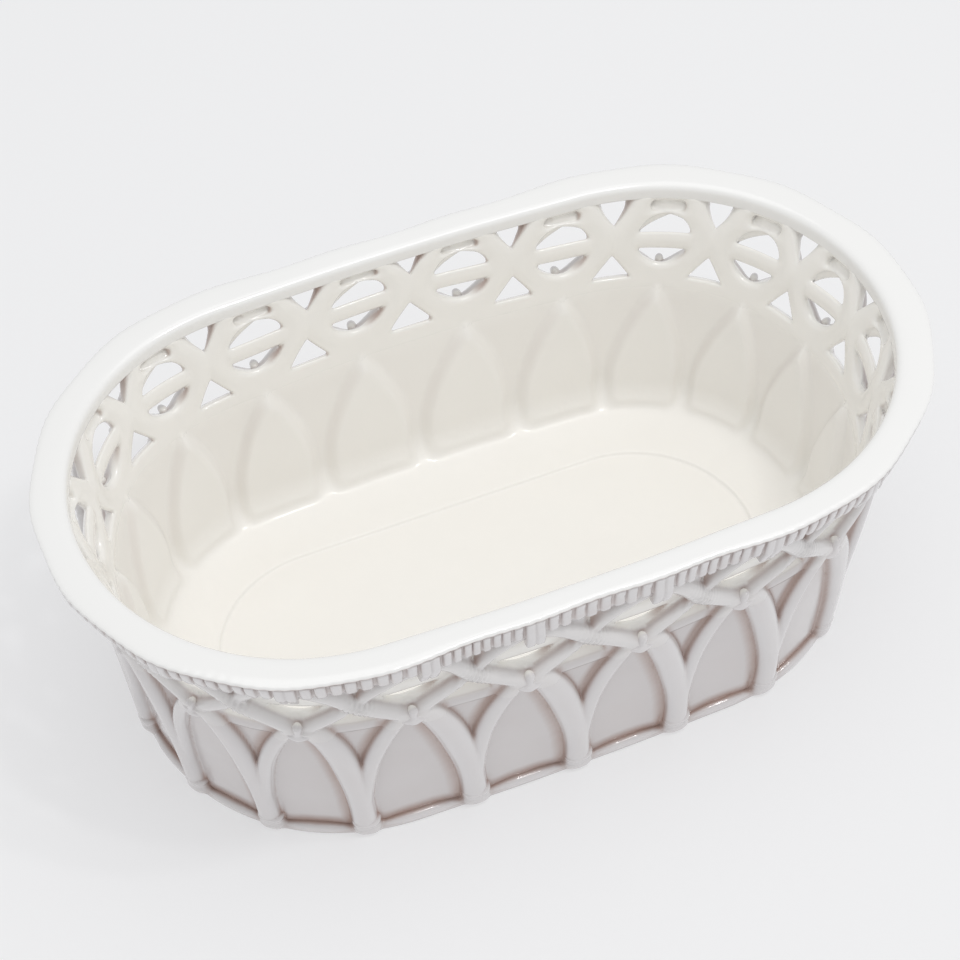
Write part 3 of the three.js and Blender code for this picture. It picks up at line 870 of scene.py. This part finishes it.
def net_piece(names, field, levels, reach, cell, material, replaced, pool_and_shade_depth=1.0,
              outside_from=None, knotted=False):
    """A piece skinned from a field over one arch and set round the pot. Two names make a near
    half and a far one, which meet at the pot's ends."""
    points, quads, owners = net_module(field, levels, reach, mm(cell))
    slope = gradient(field, *points.T)
    normal = slope / np.maximum(np.linalg.norm(slope, axis=1, keepdims=True), 1e-6)
    pool_and_shade = pool_and_shade_depth * pooling_and_shade(*points.T, normal)
    # Low plain wall between the arches is marked for the darker panel colour, painted shade.
    panel = 1 - step(0.2, 2.2, points[:, 2])
    cream = np.zeros(len(points))
    count = arch_count()
    if knotted:
        # On the knots the smoky colour keeps to the outer faces, and faces turned in toward the pot
        # take the pale inside glaze: painted light that keeps the loops, which lie in shade, from
        # reading dark through the gallery's holes.
        pool_and_shade = pool_and_shade * step(1.0, 3.2, points[:, 2]) * step(-0.2, 0.4, normal[:, 2])
        cream = step(0.3, -0.3, normal[:, 2])
    pool_and_shade = np.tile(pool_and_shade, count)
    if outside_from is not None:
        outside = step(outside_from[0], outside_from[1], points[:, 2])
        cream = 1 - outside
        panel = panel * outside
        # Walls of the holes, and beside each crossing, that face away from the light at the right
        # take the smoky colour: painted shade, with some pooled glaze.
        turn = 2 * np.pi * (points[:, 0] / pitch() + np.arange(count)[:, None]) / count
        crossing = np.exp(-((np.abs(points[:, 0]) - pitch() / 2) ** 2
                            + (points[:, 1] - 95.0) ** 2) / 70) * step(4.2, 2.0, points[:, 2])
        hole_shade_and_stain = 0.8 * step(-4.4, -3.2, points[:, 2]) * cream + 0.7 * crossing * outside
        sides = step(0.2, 0.8, -normal[:, 0] * np.cos(turn)) * hole_shade_and_stain
        pool_and_shade = np.clip(pool_and_shade * np.tile(outside, count) + sides.ravel(), 0.0, FULL_POOL_AND_SHADE)
    vertices, faces = spread_module(points, quads, owners)
    marks = {"pool_and_shade": pool_and_shade, "panel": np.tile(panel, count), "cream": np.tile(cream, count)}
    if len(names) == 1:
        new_piece(names[0], vertices, faces, material, replaced, marks)
        return
    far = np.repeat([count // 4 <= k < count - count // 4 for k in range(count)], len(quads))
    for name, part in zip(names, (~far, far)):
        used, corners = np.unique(faces[part], return_inverse=True)
        new_piece(name, vertices[used], corners.reshape(-1, 4), material, replaced,
                  {key: values[used] for key, values in marks.items()})


# The pieces, one operator each.

BOWL_COLUMNS, ARCADE_COLUMNS, RIM_COLUMNS, FOOT_COLUMNS = 32, 54, 64, 16   # for each arch
BOWL_ROWS, ARCADE_ROWS = 52, 82
FOOT_CELL = REED_CELL = 0.72 * MM
KNOT_CELL = 0.5 * MM
GALLERY_CELL = 0.95 * MM

# The bend of the cove: how far it has come from the wall to the floor's shelf, and its height.
COVE_TURN = ((0.0, 1.0), (0.01, 0.86), (0.035, 0.7), (0.085, 0.53), (0.165, 0.38), (0.28, 0.255),
             (0.43, 0.16), (0.62, 0.08), (0.8, 0.03), (1.0, 0.0))
# The rounded step down to the floor: how far in from the shelf's edge, and share of the step.
STEP_TURN = ((0.3, 0.06), (0.55, 0.2), (0.8, 0.45), (1.05, 0.72), (1.35, 0.9), (1.9, 0.98),
             (3.0, 1.0))
# The rim's edge: how far out it has come from its root, and its height.
RIM_ROOT = 3.4
RIM_EDGE = ((0.0, 122.95), (0.55, 122.95), (0.95, 123.0), (0.99, 123.15), (1.0, 123.5),
            (0.99, 123.9), (0.955, 124.3), (0.82, 124.65), (0.45, 124.9), (0.0, 125.0))
# The rim's top and its inner lip: heights and distances from the wall.
RIM_LIP = ((125.0, 1.6), (124.97, -0.6), (124.85, -2.4), (124.55, -3.6), (124.05, -4.5),
           (123.3, -5.1), (122.4, -5.3), (121.2, -5.2), (119.8, -4.9), (118.6, -4.6),
           (117.9, -4.4), (117.6, -4.1), (117.7, -3.6), (118.2, -3.0), (118.4, 2.0),
           (118.9, 2.5), (121.5, 2.6))
# The turned foot: heights and distances from the wall's foot.
FOOT_SECTION = ((2.0, -13.0), (0.7, -12.9), (0.2, -12.6), (0.0, -12.1), (0.0, -7.0),
                (0.2, -6.4), (0.7, -6.1), (2.0, -6.0))


class CACHEPOT_OT_bowl(Operator):
    """Floor, cove and inner wall with its soft pointed panels"""

    bl_idname = "cachepot.bowl"
    bl_label = "Bowl"

    def execute(self, context):
        s = context.scene.cachepot
        u = columns_round(BOWL_COLUMNS)
        p = pitch()
        rows = []
        add = rows.append

        def across(z):
            """Places in the wall drawing at this level, as the arches were set by hand."""
            x = u * p
            for _ in range(3):
                x = (u - hand_set(x / p, z)) * p
            return fold(x - p / 2)

        def pressed(z):
            return inner_panel(across(z), z)

        panel_shading = []

        def shade(z, share):
            """Painted shade in the smoky colour along the far flank of each panel, and a thin
            darkening between them.
            """
            x = across(z)
            flank = np.clip(inner_panel(x - 1.6, z) - inner_panel(x + 1.6, z), 0, 1)
            between = 1 - inner_panel(x, z)
            panel_shading.append((len(rows) - 1, share * (0.4 * flank + 0.1 * between) * step(8, 55, z)))

        floor_half, floor_radius = FLOOR_PLAN
        for radius in (12.0, 40.0, 70.0):
            add(oval_row(u, floor_half * 0.98, radius, UNDERSIDE))
        add(place(u, UNDERSIDE, -4.0))
        for z in (UNDERSIDE + 1.5, 20.0, 40.0, 60.0, GALLERY_FOOT - 0.2, GALLERY_FOOT - 0.02):
            add(place(u, z, -2.3))
        add(place(u, GALLERY_FOOT, -2.5))
        add(place(u, GALLERY_FOOT, -WALL + 0.08))
        swell = mm(s.panel_swell)
        for z in np.concatenate([[GALLERY_FOOT - 0.04, GALLERY_FOOT - 0.08, GALLERY_FOOT - 0.16],
                                 np.linspace(GALLERY_FOOT - 0.5, COVE_TOP, BOWL_ROWS)]):
            add(place(u, z, -WALL - swell * pressed(z)))
            shade(z, step(GALLERY_FOOT + 2, GALLERY_FOOT - 8, z))
        # The wall turns through the cove into the broad shelf round the floor.
        shelf_radius, shelf = floor_radius + SHELF_EDGE, FLOOR_TOP + FLOOR_STEP
        half, radius = wall_plan(COVE_TOP)
        sunk = bow(u, COVE_TOP, -WALL)
        for along, up in smooth_path(COVE_TURN, 4)[1:]:
            z = shelf + (COVE_TOP - shelf) * up
            reach = mix(radius - WALL + sunk, shelf_radius, along)
            reach = reach - swell * pressed(z) * (1 - along)
            add(oval_row(u, mix(half, floor_half, along), reach, z))
            shade(z, (1 - along) * step(9.0, 20.0, z))
        for inset, drop in STEP_TURN:
            add(oval_row(u, floor_half, shelf_radius - inset, shelf - FLOOR_STEP * drop))
        for radius in (40.0, 26.0, 12.0):
            add(oval_row(u, floor_half, radius, FLOOR_TOP))
        vertices, faces = rows_piece(rows, u, False, caps=True)
        # The bowl's smoky colour is the painted shade along its panels' far flanks and the thin
        # darkening between them.
        pool_and_shade = np.zeros((len(rows), len(u)))
        for row, amount in panel_shading:
            pool_and_shade[row] = amount
        new_piece("bowl", vertices, faces,
                  glaze("ivory_glaze", s.inside_glaze, s.inside_glaze, pool_and_shade_depth=0.35,
                        blotch=0.02, waves=(0.02, 1.6), coat=0.2, gloss=0.3),
                  ("floor", "cove"), {"pool_and_shade": pool_and_shade.ravel()})
        return {"FINISHED"}


class CACHEPOT_OT_arcade(Operator):
    """Outer wall with the pointed cane arches in relief"""

    bl_idname = "cachepot.arcade"
    bl_label = "Arcade wall"

    def execute(self, context):
        s = context.scene.cachepot
        p = pitch()
        per_arch = ARCADE_COLUMNS
        fine = np.linspace(-p / 2, p / 2, 801)
        levels = np.concatenate([[UNDERSIDE, UNDERSIDE + 0.6],
                                 np.linspace(3.8, GALLERY_FOOT - 0.05, ARCADE_ROWS),
                                 [GALLERY_FOOT]])
        # The columns of each row are spread evenly over its relief.
        grid = []
        for z in levels:
            height = arcade_height(fine, z)
            run = np.concatenate([[0], np.cumsum(np.hypot(np.diff(fine), np.diff(height)))])
            x = np.interp(np.arange(per_arch) * run[-1] / per_arch, run, fine)
            grid.append((x, np.full(per_arch, z), arcade_height(x, z)))
        x, z, w = (np.stack(part) for part in zip(*grid))
        back_levels = np.array([GALLERY_FOOT, 60.0, 40.0, 20.0, UNDERSIDE])
        back = [(np.linspace(-p / 2, p / 2, per_arch, endpoint=False), np.full(per_arch, level),
                 np.full(per_arch, -2.2)) for level in back_levels]
        bx, bz, bw = (np.stack(part) for part in zip(*back))
        bx[0], bx[-1] = x[-1], x[0]

        def skin(x, z, w):
            return w - arcade_height(x, z)

        flat = [part.ravel() for part in (x, z, w)]
        slope = gradient(skin, *flat)
        normal = slope / np.linalg.norm(slope, axis=1, keepdims=True)
        pool_and_shade = np.concatenate([pooling_and_shade(*flat, normal), np.zeros(bx.size)])
        # Low plain wall between the arches is marked for the darker panel colour, painted shade.
        panel = 1 - step(0.3, 3.2, np.concatenate([flat[2], np.full(bx.size, 4.0)]))
        x, z, w = (np.vstack(pair) for pair in ((x, bx), (z, bz), (w, bw)))
        count = arch_count()
        around = np.concatenate([x / p + 0.5 + k for k in range(count)], 1)
        z, w = np.tile(z, (1, count)), np.tile(w, (1, count))
        vertices = place(around + hand_set(around, z), z, w).reshape(-1, 3)
        faces = loop_faces(len(x), per_arch * count, True)
        rows = len(x)
        marks = {key: np.tile(value.reshape(rows, per_arch), (1, count)).ravel()
                 for key, value in (("pool_and_shade", pool_and_shade), ("panel", panel))}
        material = glaze("shaded_glaze", s.outside_glaze_shaded, s.panel_glaze_shaded)
        arches = tuple(name for name in sorted(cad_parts) if name.startswith("arch_"))
        new_piece("arcade", vertices, faces, material, ("wall",) + arches, marks)
        return {"FINISHED"}


class CACHEPOT_OT_foot_binding(Operator):
    """Roll round the foot with a collar on every foot of the arches"""

    bl_idname = "cachepot.foot_binding"
    bl_label = "Foot roll and collars"

    def execute(self, context):
        s = context.scene.cachepot
        net_piece(("foot_roll",), foot_field, (-0.4, 12.6), (-2.0, 8.6), FOOT_CELL,
                  glaze("foot_glaze", s.outside_glaze_shaded, s.panel_glaze_shaded),
                  ("base_binding",))
        return {"FINISHED"}


class CACHEPOT_OT_knots(Operator):
    """Loop and tie over each arch tip"""

    bl_idname = "cachepot.knots"
    bl_label = "Knots"

    def execute(self, context):
        s = context.scene.cachepot
        knots = tuple(name for name in sorted(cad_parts) if name.startswith("knot_"))
        net_piece(("arch_knots",), knot_field, (72.0, 94.0), (-1.5, 9.5), KNOT_CELL,
                  glaze("knot_glaze", s.outside_glaze_shaded, s.panel_glaze_shaded),
                  knots, pool_and_shade_depth=0.55, knotted=True)
        return {"FINISHED"}


class CACHEPOT_OT_gallery(Operator):
    """Pierced gallery of crossing canes"""

    bl_idname = "cachepot.gallery"
    bl_label = "Pierced gallery"

    def execute(self, context):
        s = context.scene.cachepot
        material = glaze("gallery_glaze_shaded", s.gallery_glaze_shaded, s.panel_glaze_shaded, blotch=0.02)
        net_piece(("gallery_front", "gallery_back"), gallery_field,
                  (GALLERY_FOOT - 2.5, GALLERY_TOP + 1.0), (-7.2, 8.0), GALLERY_CELL, material,
                  ("gallery",), outside_from=(-0.8, 0.8))
        return {"FINISHED"}


class CACHEPOT_OT_reeds(Operator):
    """Reeded binding under the rim"""

    bl_idname = "cachepot.reeds"
    bl_label = "Reeded binding"

    def execute(self, context):
        s = context.scene.cachepot
        net_piece(("rim_reeds",), edge_field, (107.0, 122.6), (2.0, 9.5), REED_CELL,
                  glaze("reed_glaze", s.outside_glaze_shaded, s.panel_glaze_shaded),
                  ("rim_binding",))
        return {"FINISHED"}


class CACHEPOT_OT_rim(Operator):
    """Broad smooth rim with its inner lip"""

    bl_idname = "cachepot.rim"
    bl_label = "Rim"

    def execute(self, context):
        s = context.scene.cachepot
        u = columns_round(RIM_COLUMNS)
        x = fold((u - 0.5) * pitch())
        q = pitch() / s.reeds
        reach = edge_reach(u) - 0.12 + 0.1 * np.cos(2 * np.pi * (x / q - 0.5))
        rows = [place(u, z, mix(RIM_ROOT, reach, share)) for share, z in RIM_EDGE]
        rows += [place(u, z, w) for z, w in RIM_LIP]
        vertices, faces = rows_piece(rows, u, True)
        bare = np.zeros((len(rows), len(u)))
        bare[2] = bare[3] = 0.5
        bare[4] = 0.25
        material = glaze("rim_glaze", s.rim_glaze, s.panel_glaze_shaded, pool_and_shade_depth=0.4, blotch=0.01)
        new_piece("rim_band", vertices, faces, material, ("rim",),
                  {"bare": bare.ravel()})
        return {"FINISHED"}


class CACHEPOT_OT_turned_foot(Operator):
    """Unglazed ring that the pot stands on"""

    bl_idname = "cachepot.turned_foot"
    bl_label = "Turned foot"

    def execute(self, context):
        s = context.scene.cachepot
        u = columns_round(FOOT_COLUMNS)
        half, radius = wall_plan(0.0)
        rows = [oval_row(u, half, radius + w, z) for z, w in FOOT_SECTION]
        vertices, faces = rows_piece(rows, u, True)
        new_piece("turned_foot", vertices, faces, bare_clay(), ("foot_ring",))
        return {"FINISHED"}


# The studio, in metres: the table's side and cells, and each light's place and size.
TABLE_SIDE, TABLE_CELLS = 6.0, 24
LIGHTS_AIM = (0.0, 0.0, 0.05)
SOFTBOX = ((0.15, -0.12, 1.65), (1.4, 1.4))
LEFT_LAMP = ((0.24, -0.42, 1.45), (0.07, 0.12))
RIGHT_LAMP = ((0.5, -0.38, 1.4), (0.07, 0.12))


def look_turn(back):
    """Turn that points a lamp's back along a direction."""
    return Vector(back).to_track_quat("Z", "Y").to_euler()


class CACHEPOT_OT_studio(Operator):
    """Pale table, soft light from above and the camera"""

    bl_idname = "cachepot.studio"
    bl_label = "Studio"

    def execute(self, context):
        s = context.scene.cachepot
        scene = bpy.context.scene
        line = (np.linspace(-1, 1, TABLE_CELLS + 1) ** 3) * TABLE_SIDE / 2
        gx, gy = np.meshgrid(line, line)
        points = np.stack([gx.ravel(), gy.ravel(), np.zeros(gx.size)], -1)
        i, j = np.meshgrid(np.arange(TABLE_CELLS), np.arange(TABLE_CELLS))
        near = (j * (TABLE_CELLS + 1) + i).ravel()
        far = near + TABLE_CELLS + 1
        quads = np.stack([near, near + 1, far + 1, far], -1)
        mesh = bpy.data.meshes.new("table")
        mesh.from_pydata(points.tolist(), [], quads.tolist())
        g = Shader("table_paper")
        cloud = g.noise(0.4, 1.0)
        base = g.blend(cloud, opaque(s.table_paper), opaque(tuple(0.99 * c for c in s.table_paper)))
        # The glow is painted light that keeps the pot's shadow on the table faint.
        mesh.materials.append(g.finish({"Base Color": base, "Roughness": 0.9,
                                        "Specular IOR Level": 0.1,
                                        "Emission Color": opaque(s.table_glow),
                                        "Emission Strength": s.table_glow_strength},
                                       (g.noise(0.002, 2.0), 0.05, 0.0001)))
        table = bpy.data.objects.new("table", mesh)
        scene.collection.objects.link(table)

        world = bpy.data.worlds.new("studio")
        world.use_nodes = True
        room = world.node_tree.nodes["Background"].inputs
        room["Color"].default_value = opaque(s.room_light)
        room["Strength"].default_value = s.room_strength
        scene.world = world
        for name, (place_at, size), power in (("overhead_softbox", SOFTBOX, s.overhead_power),
                                              ("left_lamp", LEFT_LAMP, s.lamp_power),
                                              ("right_lamp", RIGHT_LAMP, s.lamp_power)):
            light = bpy.data.lights.new(name, "AREA")
            light.shape = "RECTANGLE"
            light.size, light.size_y = size
            light.energy = power
            lamp = bpy.data.objects.new(name, light)
            scene.collection.objects.link(lamp)
            lamp.location = place_at
            lamp.rotation_euler = look_turn(np.array(place_at) - np.array(LIGHTS_AIM))
        scene.view_settings.view_transform = "Standard"
        scene.view_settings.look = "None"
        scene.view_settings.exposure = 0.0

        az, el, roll = (math.radians(a) for a in (CAMERA_AZIMUTH, CAMERA_ELEVATION, CAMERA_ROLL))
        back = np.array([math.sin(az) * math.cos(el), -math.cos(az) * math.cos(el), math.sin(el)])
        right = np.array([math.cos(az), math.sin(az), 0.0])
        up = np.cross(back, right)
        tilted_right = math.cos(roll) * right + math.sin(roll) * up
        tilted_up = -math.sin(roll) * right + math.cos(roll) * up
        camera = bpy.data.cameras.new("camera")
        camera.sensor_width = 36.0
        camera.lens = CAMERA_LENS
        camera.clip_end = 20.0
        eye = bpy.data.objects.new("camera", camera)
        scene.collection.objects.link(eye)
        place_at = (back * CAMERA_DISTANCE + tilted_right * CAMERA_OFFSET[0]
                    + tilted_up * CAMERA_OFFSET[1]) * MM
        turn = Matrix((tilted_right, tilted_up, back)).transposed().to_4x4()
        eye.matrix_world = Matrix.Translation(place_at) @ turn
        scene.camera = eye
        return {"FINISHED"}


class CACHEPOT_PT_panel(Panel):
    """Lists the pieces in the 3D view's sidebar"""

    bl_label = "Cachepot"
    bl_idname = "CACHEPOT_PT_panel"
    bl_space_type = "VIEW_3D"
    bl_region_type = "UI"
    bl_category = "Cachepot"

    def draw(self, context):
        for name in CachepotSettings.__annotations__:
            self.layout.prop(context.scene.cachepot, name)
        for piece in PIECES:
            self.layout.operator(piece.bl_idname)


PIECES = (CACHEPOT_OT_bowl, CACHEPOT_OT_arcade, CACHEPOT_OT_foot_binding, CACHEPOT_OT_knots,
          CACHEPOT_OT_gallery, CACHEPOT_OT_reeds, CACHEPOT_OT_rim, CACHEPOT_OT_turned_foot,
          CACHEPOT_OT_studio)
CLASSES = (CachepotSettings,) + PIECES + (CACHEPOT_PT_panel,)


def register():
    for cls in CLASSES:
        bpy.utils.register_class(cls)
    bpy.types.Scene.cachepot = PointerProperty(type=CachepotSettings)


def unregister():
    del bpy.types.Scene.cachepot
    for cls in reversed(CLASSES):
        bpy.utils.unregister_class(cls)


def main():
    register()
    for piece in PIECES:
        group, name = piece.bl_idname.split(".")
        getattr(getattr(bpy.ops, group), name)()
    bpy.context.view_layer.update()


if __name__ == "__main__":
    main()
